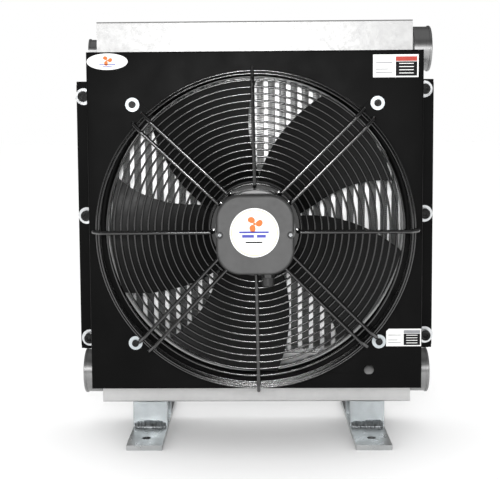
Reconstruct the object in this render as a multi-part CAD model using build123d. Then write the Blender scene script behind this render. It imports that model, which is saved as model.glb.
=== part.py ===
"""Fan-cooled hydraulic oil cooler: bar-and-plate core, shroud, guarded axial fan and feet.

Millimetres. +Z is up and the fan side faces -Y. The origin is on the floor, in the middle
of the four foot holes. Depths are written as distances behind the shroud's front face
(negative in front of it) and turned into Y by depth().
"""
import os
from math import cos, hypot, radians, sin, sqrt

from build123d import *

# ---------------------------------------------------------------- driving dimensions
CORE_X = -3.75            # middle of core and shroud, from the middle of the feet
SHROUD_FACE_Y = -129.0    # front face of the shroud plate
SHROUD_Z = 348.0          # middle of the shroud plate above the floor
SHROUD_WIDTH = 500.0
SHROUD_HEIGHT = 508.0
SHEET = 2.0               # shroud sheet thickness
SHROUD_DEPTH = 80.0       # plate face to the back of the side flanges
FLANGE_HALF_WIDTH = 278.5
FLANGE_HEIGHT = 423.0
FLANGE_Z = SHROUD_Z + 3.0
THROAT_RADIUS = 222.5
THROAT_DEPTH = 38.0
LEAD_IN_RADIUS = 6.0
FAN_Z = SHROUD_Z - 5.5

CORE_DEPTH = 94.0         # centred on Y = 0
CORE_BOTTOM = 51.0
CORE_TOP = 654.5
CORE_LENGTH = 492.0
TANK_HEIGHT = 80.0
TANK_WALL = 4.0
HEADER_THICKNESS = 6.0
SIDE_PLATE = 3.0
PASSAGE_PITCH = 17.6
PASSAGE_WIDTH = 6.8
PASSAGE_WALL = 1.2
PASSAGE_COUNT = 27
FIN_PITCH = 14.0
FIN_SHEET = 0.6
TURBULATOR_PITCH = 10.0
TURBULATOR_SHEET = 0.5

TOP_PORT_Z = CORE_TOP - 41.5
BOTTOM_PORT_Z = CORE_BOTTOM + 41.0
PORT_RADIUS = 34.8
PORT_LIP_RADIUS = 36.2
PORT_REACH = 33.0         # stands out from the tank end
PORT_NECK = (5.0, 33.2)                 # length, radius
PORT_LIP_WIDTH = 3.6
PORT_THREAD_RADIUS = 22.4
PORT_THREAD_DEPTH = 30.0
PORT_FLOW_RADIUS = 18.5
PLUG_BOSS_RADIUS = 18.2
PLUG_LIP = (19.6, 2.6)                  # radius, length
PLUG_BOSS_REACH = 18.0
PLUG_RECESS = 5.0
PLUG_SEAL = 1.0
PLUG_HEAD = (12.5, 3.0)                 # radius, height
PLUG_THREAD = 10.0
PLUG_SOCKET = (5.8, 8.0)                # radius over the corners, depth
PLUG_RADIUS = 9.3

BRACKET_SHEET = 4.0
BRACKET_WEB = 66.0
BRACKET_SCREW_Y = 0.0
BRACKET_SCREW_STEP = 150.0
# flange screws as x and z from the middle of the shroud plate
LEFT_BOLTS = ((-264.0, -190.5), (-265.5, 4.5), (-267.0, 191.0))
RIGHT_BOLTS = ((267.0, -187.5), (265.0, 5.0), (263.5, 199.0))
M10_RADIUS = 5.0
M6_RADIUS = 3.0

FOOT_X = 174.75
FOOT_WIDTH = 55.0
FOOT_THICKNESS = 8.0
FOOT_LENGTH = 272.0
FOOT_HOLE_Y = 99.0
FOOT_HOLE_RADIUS = 7.0
UPRIGHT_Y = 35.0          # middle of each upright, from the middle of the core
UPRIGHT_THICKNESS = 8.0
SADDLE_THICKNESS = 5.0
FLOOR_WELD = 10.5
SADDLE_WELD = 2.4

WIRE = 1.6                # guard ring wire radius
ARM = 2.75                # guard arm wire radius
FACE_DEPTH = -54.0        # plane of the flat guard rings
FACE_RING_OUTER = 214.5
FACE_RING_PITCH = 9.9
FACE_RING_COUNT = 16
ARM_LEG_RADIUS = 236.8    # where the arms turn back to the plate
HUB_LEG_RADIUS = 61.6
HUB_RING_DEPTH = -44.0
HUB_RING_SHEET = 3.0
HUB_RING_RADII = (68.0, 40.0)
WALL_RING_DEPTHS = (-39.0, -22.0, -5.0)
CORNER_RING_ALONG = 13.0  # where that ring sits along the arms' slope
ARM_SHOULDER = 222.0
ARM_CORNER_DEPTH = -43.0
PAIR_SPACING = 19.8
ARM_FACE_DEPTH = FACE_DEPTH - WIRE - ARM
ARM_BENDS = (4.4, 9.0, 9.0)             # bend radii from hub to leg
SINGLE_ARM_FOOT = -0.3
GUARD_DROP = 4.0          # the guard's outer part hangs below the fan axis
WELD_GAP = 0.05            # rings stop this far short of the arms they are welded to
GUARD_TURN = 0.9          # the guard sits slightly turned on its screws
# guard screws as angle and radius from the fan axis
LUG_SPOTS = ((45.0, 256.7), (135.0, 256.7), (224.2, 253.6), (316.5, 255.1))
LUG_ROUND = 10.6
LUG_PAD = (14.0, 26.0)
LUG_THICKNESS = 2.5
GUARD_WASHER = (10.4, 2.0)              # radius, thickness

BOX_WIDTH = 111.0
BOX_HEIGHT = 114.0
BOX_CORNER = 35.0
BOX_WALL = 3.0
COVER_WIDTH = 107.0
COVER_HEIGHT = 110.0
COVER_CORNER = 33.5
BOX_OFFSET = (-0.5, -4.6)               # from the fan axis
BOX_BACK = -61.4
BOX_FRONT = -82.6
GASKET = 1.4
COVER_FRONT = -92.0
COVER_RECESS = 5.6        # depth of the two screw recesses
COVER_SCREW_X = 50.0
GLAND_X = 17.5
GLAND_DEPTH = -71.5
GLAND_RADIUS = 9.2

MOTOR_SCREW_CIRCLE = 52.0
CARRIER_RADIUS = 58.0
CAN_RADIUS = 69.0
CAN_FRONT = -34.0
CAN_BACK = 40.0
SHAFT_RADIUS = 7.5
BALL_CIRCLE = 12.5
BALL_RADIUS = 2.7
GROOVE_RADIUS = 3.1
BALL_COUNT = 7
BEARING_WIDTH = 11.0
BEARING_DEPTHS = (-34.0, 14.0)          # front faces of the two bearings
STACK = (-22.0, 18.0)
STACK_RADIUS = 48.0
BLADE_COUNT = 5
BLADE_TIP = 218.5
BLADE_ROOT = 68.4
BLADE_SHEET = 2.2


# ---------------------------------------------------------------- helpers
def depth(distance):
    """Y of a plane this far behind the shroud's front face."""
    return SHROUD_FACE_Y + distance


def block(x0, x1, y0, y1, z0, z1):
    return Pos((x0 + x1) / 2, (y0 + y1) / 2, (z0 + z1) / 2) * Box(x1 - x0, y1 - y0, z1 - z0)


def rod_x(x0, x1, y, z, radius):
    return Pos((x0 + x1) / 2, y, z) * Rot(0, 90, 0) * Cylinder(radius, x1 - x0)


def rod_y(x, y0, y1, z, radius):
    return Pos(x, (y0 + y1) / 2, z) * Rot(90, 0, 0) * Cylinder(radius, y1 - y0)


def rod_z(x, y, z0, z1, radius):
    return Pos(x, y, (z0 + z1) / 2) * Cylinder(radius, z1 - z0)


def tube_y(x, y0, y1, z, outer, inner):
    return rod_y(x, y0, y1, z, outer) - rod_y(x, y0 - 1, y1 + 1, z, inner)


def front_plane(x, y, z):
    """Plane facing the viewer: local x is +X and local y is +Z."""
    return Plane(origin=(x, y, z), x_dir=(1, 0, 0), z_dir=(0, -1, 0))


def slab_y(sketch, x, y0, y1, z):
    """Extrude a sketch drawn in the front view from y0 back to y1."""
    return extrude(front_plane(x, y1, z) * sketch, amount=y1 - y0)


def upright(sketch):
    """The sketch's face with its normal along +Z, so that it extrudes the way it is drawn."""
    face = sketch.faces()[0]
    return face if face.normal_at().Z > 0 else -face


def hex_y(x, y0, y1, z, across_flats):
    return slab_y(RegularPolygon(across_flats / sqrt(3), 6), x, y0, y1, z)


def fan_point(angle, radius, distance):
    """Point by polar angle about the fan axis, seen from the front."""
    x = CORE_X + radius * cos(radians(angle))
    z = FAN_Z + radius * sin(radians(angle))
    return Vector(x, depth(distance), z)


def save(name, *shapes):
    solids = [solid for shape in shapes for solid in shape.solids()]
    shape = solids[0] if len(solids) == 1 else Compound(children=solids)
    shape.label = name
    export_step(shape, f"parts/{name}.step")


def socket_screw(radius, length, head_radius, head_height):
    """Socket-head screw pointing along +Y, with the head's seat at the origin."""
    head = rod_y(0, -head_height, 0, 0, head_radius)
    socket = hex_y(0, -head_height - 1, -head_height * 0.45, 0, radius * 1.65)
    shank = rod_y(0, -0.5, length, 0, radius)
    head = chamfer(head.edges().group_by(Axis.Y)[0], head_radius * 0.08)
    return head - socket + shank


def washer(radius, hole, thickness):
    """Washer with its back face at the origin."""
    return tube_y(0, -thickness, 0, 0, radius, hole)


def hex_nut(radius, across_flats, height):
    """Nut with its front face at the origin."""
    return hex_y(0, 0, height, 0, across_flats) - rod_y(0, -1, height + 1, 0, radius + 0.1)


# ---------------------------------------------------------------- core
def tanks():
    """Two extruded channels that open towards the core."""
    half = CORE_LENGTH / 2
    wall = TANK_WALL
    for name, bottom, top, open_up in (
        ("top_tank", CORE_TOP - TANK_HEIGHT, CORE_TOP, False),
        ("bottom_tank", CORE_BOTTOM, CORE_BOTTOM + TANK_HEIGHT, True),
    ):
        shell = block(CORE_X - half, CORE_X + half, -CORE_DEPTH / 2, CORE_DEPTH / 2, bottom, top)
        shell = fillet(shell.edges().filter_by(Axis.X), 2.5)
        z0 = bottom + wall if open_up else bottom - 3
        z1 = top + 3 if open_up else top - wall
        hollow = block(CORE_X - half - 1, CORE_X + half + 1, -CORE_DEPTH / 2 + wall,
                       CORE_DEPTH / 2 - wall, z0, z1)
        save(name, shell - hollow)


def passage_positions():
    middle = (PASSAGE_COUNT - 1) / 2
    return [CORE_X + (i - middle) * PASSAGE_PITCH for i in range(PASSAGE_COUNT)]


def core_span():
    """Bottom and top of the passages, between the two header plates."""
    bottom = CORE_BOTTOM + TANK_HEIGHT + HEADER_THICKNESS
    top = CORE_TOP - TANK_HEIGHT - HEADER_THICKNESS
    return bottom, top


def header_plates():
    """Plates between tank and core, with a slot for each oil passage."""
    half = CORE_LENGTH / 2
    bottom, top = core_span()
    slot_half = PASSAGE_WIDTH / 2 - PASSAGE_WALL
    slot_depth = CORE_DEPTH / 2 - 6
    plates = []
    for z0 in (bottom - HEADER_THICKNESS, top):
        plate = block(CORE_X - half, CORE_X + half, -CORE_DEPTH / 2, CORE_DEPTH / 2,
                      z0, z0 + HEADER_THICKNESS)
        slots = [block(x - slot_half, x + slot_half, -slot_depth, slot_depth,
                       z0 - 1, z0 + HEADER_THICKNESS + 1) for x in passage_positions()]
        plates.append(plate - slots)
    save("header_plates", *plates)


def tank_end_caps():
    """Plates welded inside the tank ends, with the flow holes of the ports."""
    half = CORE_LENGTH / 2
    caps = []
    for side in (-1, 1):
        for middle, inner_low, inner_high in (
            (TOP_PORT_Z, CORE_TOP - TANK_HEIGHT, CORE_TOP - TANK_WALL),
            (BOTTOM_PORT_Z, CORE_BOTTOM + TANK_WALL, CORE_BOTTOM + TANK_HEIGHT),
        ):
            inner = CORE_X + side * (half - TANK_WALL)
            outer = CORE_X + side * half
            reach = CORE_DEPTH / 2 - TANK_WALL
            cap = block(min(inner, outer), max(inner, outer), -reach, reach, inner_low, inner_high)
            small = side < 0 and middle == TOP_PORT_Z
            hole = PLUG_RADIUS - 2 if small else PORT_FLOW_RADIUS
            caps.append(cap - rod_x(min(inner, outer) - 1, max(inner, outer) + 1, 0, middle, hole))
    save("tank_end_caps", *caps)


def oil_passages():
    bottom, top = core_span()
    tubes = []
    for x in passage_positions():
        half = PASSAGE_WIDTH / 2
        outer = block(x - half, x + half, -CORE_DEPTH / 2, CORE_DEPTH / 2, bottom, top)
        inner_half = half - PASSAGE_WALL
        inner_depth = CORE_DEPTH / 2 - 5
        tubes.append(outer - block(x - inner_half, x + inner_half, -inner_depth, inner_depth,
                                   bottom - 1, top + 1))
    save("oil_passages", *tubes)


def zigzag(width, sheet, pitch, length):
    """Outline of a folded strip: local x across the folds, local y along it."""
    folds = int(length / pitch)
    slope = length / (2 * folds)
    shift = sheet / 2 * hypot(width, slope) / slope
    half = width / 2 - shift
    spine = [(half if i % 2 else -half, -length / 2 + i * slope) for i in range(2 * folds + 1)]
    left = [(x - shift, y) for x, y in reversed(spine)]
    right = [(x + shift, y) for x, y in spine]
    return make_face(Polyline(*right, *left, close=True)).face()


def air_fins():
    """Folded fins between neighbouring passages and beside the outermost ones."""
    bottom, top = core_span()
    gap = PASSAGE_PITCH - PASSAGE_WIDTH - 0.2
    outline = zigzag(gap, FIN_SHEET, FIN_PITCH, top - bottom - 4)
    strip = slab_y(outline, 0, -CORE_DEPTH / 2 + 0.5, CORE_DEPTH / 2 - 0.5, (bottom + top) / 2)
    first = passage_positions()[0] - PASSAGE_PITCH / 2
    strips = [Pos(first + i * PASSAGE_PITCH, 0, 0) * strip for i in range(PASSAGE_COUNT + 1)]
    save("air_fins", *strips)


def oil_turbulators():
    """Folded strips inside the passages that stir the oil."""
    bottom, top = core_span()
    width = PASSAGE_WIDTH - 2 * PASSAGE_WALL - 0.2
    outline = zigzag(width, TURBULATOR_SHEET, TURBULATOR_PITCH, CORE_DEPTH - 14)
    strip = extrude(Plane(origin=(0, 0, bottom + 8), x_dir=(1, 0, 0), z_dir=(0, 0, 1)) * outline,
                    amount=top - bottom - 16)
    save("oil_turbulators", *[Pos(x, 0, 0) * strip for x in passage_positions()])


def core_side_plates():
    half = CORE_LENGTH / 2
    plates = []
    for side in (-1, 1):
        inner = CORE_X + side * (half - SIDE_PLATE)
        outer = CORE_X + side * half
        bottom, top = core_span()
        plates.append(block(min(inner, outer), max(inner, outer), -CORE_DEPTH / 2, CORE_DEPTH / 2,
                            bottom, top))
    save("core_side_plates", *plates)


def oil_port(side, z):
    """Machined boss with a lip and a female pipe thread."""
    face = CORE_X + side * CORE_LENGTH / 2
    end = face + side * PORT_REACH
    lip = end - side * PORT_LIP_WIDTH
    neck_length, neck_radius = PORT_NECK
    neck = face + side * neck_length
    low, high = min(face, end), max(face, end)
    boss = rod_x(low, high, 0, z, neck_radius)
    boss += rod_x(min(neck, end), max(neck, end), 0, z, PORT_RADIUS)
    boss += rod_x(min(lip, end), max(lip, end), 0, z, PORT_LIP_RADIUS)
    outer_edge = boss.edges().filter_by(GeomType.CIRCLE).sort_by(Axis.X)[-1 if side > 0 else 0]
    boss = chamfer(outer_edge, 1.0)
    flow = rod_x(low - 1, high + 1, 0, z, PORT_FLOW_RADIUS)
    inner = end - side * PORT_THREAD_DEPTH
    thread = rod_x(min(inner, end + side), max(inner, end + side), 0, z, PORT_THREAD_RADIUS)
    return boss - flow - thread


def oil_ports():
    """Three identical bosses: two on the right and one at the bottom left."""
    save("oil_ports", oil_port(1, TOP_PORT_Z), oil_port(-1, BOTTOM_PORT_Z), oil_port(1, BOTTOM_PORT_Z))


def plugged_port():
    """Small auxiliary boss with a hexagon-socket plug and its sealing ring."""
    face = CORE_X - CORE_LENGTH / 2
    end = face - PLUG_BOSS_REACH
    seat = end + PLUG_RECESS
    boss = rod_x(end + 1, face, 0, TOP_PORT_Z, PLUG_BOSS_RADIUS)
    boss += rod_x(end, end + PLUG_LIP[1], 0, TOP_PORT_Z, PLUG_LIP[0])
    bore = rod_x(end - 1, face + 1, 0, TOP_PORT_Z, PLUG_RADIUS)
    recess = rod_x(end - 1, seat, 0, TOP_PORT_Z, PLUG_HEAD[0] + 1.5)
    save("auxiliary_port", boss - bore - recess)
    under = seat - PLUG_SEAL
    save("plug_seal", rod_x(under, seat, 0, TOP_PORT_Z, PLUG_HEAD[0] + 0.5)
         - rod_x(under - 1, seat + 1, 0, TOP_PORT_Z, PLUG_RADIUS + 0.5))
    head = rod_x(under - PLUG_HEAD[1], under, 0, TOP_PORT_Z, PLUG_HEAD[0])
    thread = rod_x(under, under + PLUG_THREAD, 0, TOP_PORT_Z, PLUG_RADIUS - 0.2)
    front = under - PLUG_HEAD[1] - 1
    hexagon = Plane(origin=(front, 0, TOP_PORT_Z), x_dir=(0, 1, 0), z_dir=(1, 0, 0))
    socket = extrude(hexagon * RegularPolygon(PLUG_SOCKET[0], 6), amount=PLUG_SOCKET[1] + 1)
    save("port_plug", head + thread - socket)


# ---------------------------------------------------------------- shroud and its fixings
def side_brackets():
    """Steel angles that carry the shroud's side flanges."""
    front = depth(SHROUD_DEPTH)
    z0 = FLANGE_Z - FLANGE_HEIGHT / 2
    z1 = FLANGE_Z + FLANGE_HEIGHT / 2
    inner = CORE_LENGTH / 2
    for name, side, spots in (("left_side_bracket", -1, LEFT_BOLTS),
                              ("right_side_bracket", 1, RIGHT_BOLTS)):
        web_out = inner + BRACKET_SHEET
        web = block(inner, web_out, front, front + BRACKET_WEB, z0, z1)
        flange = block(inner, FLANGE_HALF_WIDTH, front, front + BRACKET_SHEET, z0, z1)
        bracket = web + flange
        if side < 0:
            bracket = mirror(bracket, about=Plane.YZ)
        bracket = Pos(CORE_X, 0, 0) * bracket
        for x, z in spots:
            bracket -= rod_y(CORE_X + x, front - 1, front + 9, SHROUD_Z + z, M10_RADIUS + 0.6)
        for z in bracket_screw_heights():
            low = CORE_X + side * inner
            high = CORE_X + side * (inner + 9)
            bracket -= rod_x(min(low, high), max(low, high), BRACKET_SCREW_Y, z, 4.4)
        save(name, bracket)


def bracket_screw_heights():
    return [FLANGE_Z + row * BRACKET_SCREW_STEP for row in (-1, 0, 1)]


def bracket_screws():
    """Hexagon screws through the angle webs into the core's side plates."""
    screws = []
    for side in (-1, 1):
        seat = CORE_X + side * (CORE_LENGTH / 2 + BRACKET_SHEET)
        plane = Plane(origin=(seat, BRACKET_SCREW_Y, 0), x_dir=(0, 1, 0), z_dir=(side, 0, 0))
        head = extrude(plane * RegularPolygon(13 / sqrt(3), 6), amount=5.3)
        tip = CORE_X + side * (CORE_LENGTH / 2)
        shank = rod_x(min(tip, seat), max(tip, seat), BRACKET_SCREW_Y, 0, 4.0)
        for z in bracket_screw_heights():
            screws.append(Pos(0, 0, z) * (head + shank))
    save("bracket_screws", *screws)


def fan_shroud():
    """Folded sheet box with a drawn inlet ring and outward side flanges."""
    half = SHROUD_WIDTH / 2
    back = depth(SHROUD_DEPTH)
    low = SHROUD_Z - SHROUD_HEIGHT / 2
    high = SHROUD_Z + SHROUD_HEIGHT / 2
    z0 = FLANGE_Z - FLANGE_HEIGHT / 2
    z1 = FLANGE_Z + FLANGE_HEIGHT / 2
    body = block(CORE_X - half, CORE_X + half, depth(0), back, low, high)
    body = fillet(body.edges().group_by(Axis.Y)[0], 2.2)
    body -= block(CORE_X - half + SHEET, CORE_X + half - SHEET, depth(SHEET), back + 1,
                  low + SHEET, high - SHEET)
    for side in (-1, 1):
        inner = CORE_X + side * (half - 1)
        outer = CORE_X + side * FLANGE_HALF_WIDTH
        flange = block(min(inner, outer), max(inner, outer), back - SHEET, back, z0, z1)
        edges = flange.edges().filter_by(Axis.Y).group_by(Axis.X)[-1 if side > 0 else 0]
        flange = fillet(edges, 7.0)
        body += flange
        for x, z in (LEFT_BOLTS if side < 0 else RIGHT_BOLTS):
            body -= rod_y(CORE_X + x, back - 5, back + 1, SHROUD_Z + z, M10_RADIUS + 0.6)
    mouth = THROAT_RADIUS + LEAD_IN_RADIUS
    body -= rod_y(CORE_X, depth(-1), depth(SHEET + 1), FAN_Z, mouth)
    body += inlet_ring(mouth)
    for angle, radius in LUG_SPOTS:
        spot = fan_point(angle, radius, 0)
        body -= rod_y(spot.X, depth(-1), depth(5), spot.Z, M6_RADIUS + 0.4)
    body -= rod_y(CORE_X + 170.8, depth(-1), depth(5), SHROUD_Z - 225.8, 7.4)
    save("fan_shroud", body)


def inlet_ring(mouth):
    """Drawn lead-in and throat of the sheet, revolved about the fan axis."""
    inner = LEAD_IN_RADIUS - SHEET
    plane = Plane(origin=(CORE_X, depth(0), FAN_Z), x_dir=(1, 0, 0), z_dir=(0, 0, 1))
    throat_in = THROAT_RADIUS
    throat_out = THROAT_RADIUS + SHEET
    k = sqrt(0.5)
    lead = mouth, LEAD_IN_RADIUS
    profile = [
        ThreePointArc((mouth, 0), (lead[0] - LEAD_IN_RADIUS * k, lead[1] - LEAD_IN_RADIUS * k),
                      (throat_in, LEAD_IN_RADIUS)),
        Polyline((throat_in, LEAD_IN_RADIUS), (throat_in, THROAT_DEPTH),
                 (throat_out, THROAT_DEPTH), (throat_out, LEAD_IN_RADIUS)),
        ThreePointArc((throat_out, LEAD_IN_RADIUS), (lead[0] - inner * k, lead[1] - inner * k),
                      (mouth, SHEET)),
        Line((mouth, SHEET), (mouth, 0)),
    ]
    face = plane * make_face(profile)
    return revolve(face, axis=Axis((CORE_X, 0, FAN_Z), (0, 1, 0)), revolution_arc=360)


def shroud_fixings():
    """Socket screws, wide washers and nuts along both side flanges."""
    seat = depth(SHROUD_DEPTH - SHEET)
    back = depth(SHROUD_DEPTH + BRACKET_SHEET)
    screw = socket_screw(M10_RADIUS, 20.0, 8.2, 9.0)
    ring = washer(13.0, M10_RADIUS + 0.4, 2.5)
    nut = hex_nut(M10_RADIUS, 17.0, 8.0)
    spots = [(CORE_X + x, SHROUD_Z + z) for x, z in LEFT_BOLTS + RIGHT_BOLTS]
    save("shroud_bolts", *[Pos(x, seat - 2.5, z) * screw for x, z in spots])
    save("shroud_washers", *[Pos(x, seat, z) * ring for x, z in spots])
    save("shroud_nuts", *[Pos(x, back, z) * nut for x, z in spots])


# ---------------------------------------------------------------- feet
def feet():
    """Each foot: floor bar, two uprights, saddle under the tank, weld beads, two bolts."""
    half = FOOT_WIDTH / 2
    bar_top = FOOT_THICKNESS
    saddle_low = CORE_BOTTOM - SADDLE_THICKNESS
    bars, uprights, saddles, welds, bolts = [], [], [], [], []
    for x in (-FOOT_X, FOOT_X):
        bar = block(x - half, x + half, -FOOT_LENGTH / 2, FOOT_LENGTH / 2, 0, bar_top)
        bar = fillet(bar.edges().filter_by(Axis.Z), 1.5)
        for y in (-FOOT_HOLE_Y, FOOT_HOLE_Y):
            bar -= rod_z(x, y, -1, bar_top + 1, FOOT_HOLE_RADIUS)
        bars.append(bar)
        inside = UPRIGHT_Y - UPRIGHT_THICKNESS / 2
        saddle = block(x - half, x + half, -inside, inside, saddle_low, CORE_BOTTOM)
        for y in (-14, 14):
            saddle -= rod_z(x, y, saddle_low - 1, CORE_BOTTOM + 1, 4.6)
            bolts.append(rod_z(x, y, saddle_low - 0.5, CORE_BOTTOM, 4.0)
                         + extrude(Plane.XY.offset(saddle_low - 5.5) * Pos(x, y)
                                   * RegularPolygon(13 / sqrt(3), 6), amount=5.5))
        saddles.append(saddle)
        for side in (-1, 1):
            y = side * UPRIGHT_Y
            reach = UPRIGHT_THICKNESS / 2
            uprights.append(block(x - half, x + half, y - reach, y + reach, bar_top, CORE_BOTTOM))
            outer = y + side * reach
            for z, up in ((bar_top, 1), (CORE_BOTTOM, -1)):
                welds.append(weld_bead(x, outer, z, side, up, FOOT_WIDTH - 4))
    save("foot_bars", *bars)
    save("foot_uprights", *uprights)
    save("foot_saddles", *saddles)
    save("foot_welds", *welds)
    save("foot_bolts", *bolts)


def weld_bead(x, y, z, side, up, length):
    """Fillet weld along X in the corner at (y, z), opening towards side and up."""
    reach = FLOOR_WELD if up > 0 else SADDLE_WELD
    corner = [(y, z), (y + side * reach, z), (y, z + up * reach)]
    plane = Plane(origin=(x - length / 2, 0, 0), x_dir=(0, 1, 0), z_dir=(1, 0, 0))
    bulge = (y + side * reach * 0.62, z + up * reach * 0.62)
    outline = [Line(corner[0], corner[1]), ThreePointArc(corner[1], bulge, corner[2]),
               Line(corner[2], corner[0])]
    return extrude(plane * make_face(outline), amount=length)


# ---------------------------------------------------------------- fan guard
def guard_ring(radius, distance, drop=0.0):
    """Wire ring about an axis this far below the fan axis."""
    return Pos(CORE_X, depth(distance), FAN_Z - drop) * Rot(90, 0, 0) * Torus(radius, WIRE)


def guard_arm(angle, offset, foot_depth, drop=None):
    """Bent wire from the hub ring, over the face rings and back to the plate."""
    drop = GUARD_DROP if drop is None else drop
    outwards = Vector(cos(radians(angle)), 0, sin(radians(angle)))
    sideways = Vector(-sin(radians(angle)), 0, cos(radians(angle)))
    centre = Vector(CORE_X, 0, FAN_Z) + sideways * offset
    hub = centre + outwards * sqrt(HUB_LEG_RADIUS ** 2 - offset ** 2)
    tip = centre + outwards * sqrt(ARM_LEG_RADIUS ** 2 - offset ** 2) - Vector(0, 0, drop)
    shoulder = tip - (tip - hub).normalized() * (ARM_LEG_RADIUS - ARM_SHOULDER)
    points = [spot + Vector(0, depth(distance), 0) for spot, distance in (
        (hub, HUB_RING_DEPTH), (hub, ARM_FACE_DEPTH), (shoulder, ARM_FACE_DEPTH),
        (tip, ARM_CORNER_DEPTH), (tip, foot_depth))]
    path = FilletPolyline(*points, radius=ARM_BENDS)
    section = Plane(origin=points[0], z_dir=(0, -1, 0)) * Circle(ARM)
    return sweep(section, path=path)


def corner_ring():
    """Wire ring tucked inside the slope between the arms' face run and their legs."""
    run = ARM_LEG_RADIUS - ARM_SHOULDER
    rise = ARM_CORNER_DEPTH - ARM_FACE_DEPTH
    slope = hypot(run, rise)
    inside = ARM + WIRE + WELD_GAP
    radius = ARM_SHOULDER + (CORNER_RING_ALONG * run - inside * rise) / slope
    distance = ARM_FACE_DEPTH + (CORNER_RING_ALONG * rise + inside * run) / slope
    return guard_ring(radius, distance, GUARD_DROP)


def fan_guard():
    rings = [guard_ring(FACE_RING_OUTER - i * FACE_RING_PITCH, FACE_DEPTH)
             for i in range(FACE_RING_COUNT)]
    save("guard_face_rings", *rings)
    wall_radius = ARM_LEG_RADIUS - ARM - WIRE - WELD_GAP
    walls = [guard_ring(wall_radius, distance, GUARD_DROP) for distance in WALL_RING_DEPTHS]
    save("guard_wall_rings", corner_ring(), *walls)
    single = [guard_arm(turn + GUARD_TURN, 0, SINGLE_ARM_FOOT) for turn in (90, 270)]
    single += [guard_arm(turn, side * GUARD_DROP, SINGLE_ARM_FOOT, 0)
               for turn, side in ((0, -1), (180, 1))]
    save("guard_single_arms", *single)
    pairs = [guard_arm(turn + GUARD_TURN, side * PAIR_SPACING / 2, -LUG_THICKNESS)
             for turn in (45, 135, 225, 315) for side in (-1, 1)]
    save("guard_paired_arms", *pairs)
    hub_back = HUB_RING_DEPTH + HUB_RING_SHEET
    outer, inner = HUB_RING_RADII
    hub = tube_y(CORE_X, depth(HUB_RING_DEPTH), depth(hub_back), FAN_Z, outer, inner)
    for angle in (0, 90, 180, 270):
        spot = fan_point(angle, MOTOR_SCREW_CIRCLE, 0)
        hub -= rod_y(spot.X, depth(HUB_RING_DEPTH - 1), depth(hub_back + 1), spot.Z, M6_RADIUS + 0.3)
    save("guard_hub_ring", hub)


def guard_fixings():
    """Lugs under the paired arms, with a screw, washer and nut each."""
    lugs, screws, rings, nuts = [], [], [], []
    screw = socket_screw(M6_RADIUS, 16.0, 5.2, 4.2)
    washer_radius, thickness = GUARD_WASHER
    ring = washer(washer_radius, M6_RADIUS + 0.3, thickness)
    nut = hex_nut(M6_RADIUS, 10.0, 5.0)
    for angle, radius in LUG_SPOTS:
        pad = Pos(ARM_LEG_RADIUS - 4.5 - GUARD_DROP * sin(radians(angle)),
                  -GUARD_DROP * cos(radians(angle))) * Rectangle(*LUG_PAD)
        outline = pad + Pos(radius, 0) * Circle(LUG_ROUND)
        tab = upright(make_hull(outline.edges()))
        lug = extrude(front_plane(CORE_X, depth(0), FAN_Z) * tab, amount=LUG_THICKNESS)
        lug = lug.rotate(Axis((CORE_X, 0, FAN_Z), (0, -1, 0)), angle)
        spot = fan_point(angle, radius, 0)
        lugs.append(lug - rod_y(spot.X, depth(-9), depth(5), spot.Z, M6_RADIUS + 0.3))
        rings.append(Pos(spot.X, depth(-LUG_THICKNESS), spot.Z) * ring)
        screws.append(Pos(spot.X, depth(-LUG_THICKNESS - thickness), spot.Z) * screw)
        nuts.append(Pos(spot.X, depth(SHEET), spot.Z) * nut)
    save("guard_lugs", *lugs)
    save("guard_screws", *screws)
    save("guard_washers", *rings)
    save("guard_nuts", *nuts)


# ---------------------------------------------------------------- terminal box
def box_shape(width, height, corner, front, back):
    x = CORE_X + BOX_OFFSET[0]
    z = FAN_Z + BOX_OFFSET[1]
    return slab_y(RectangleRounded(width, height, corner), x, depth(front), depth(back), z)


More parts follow.
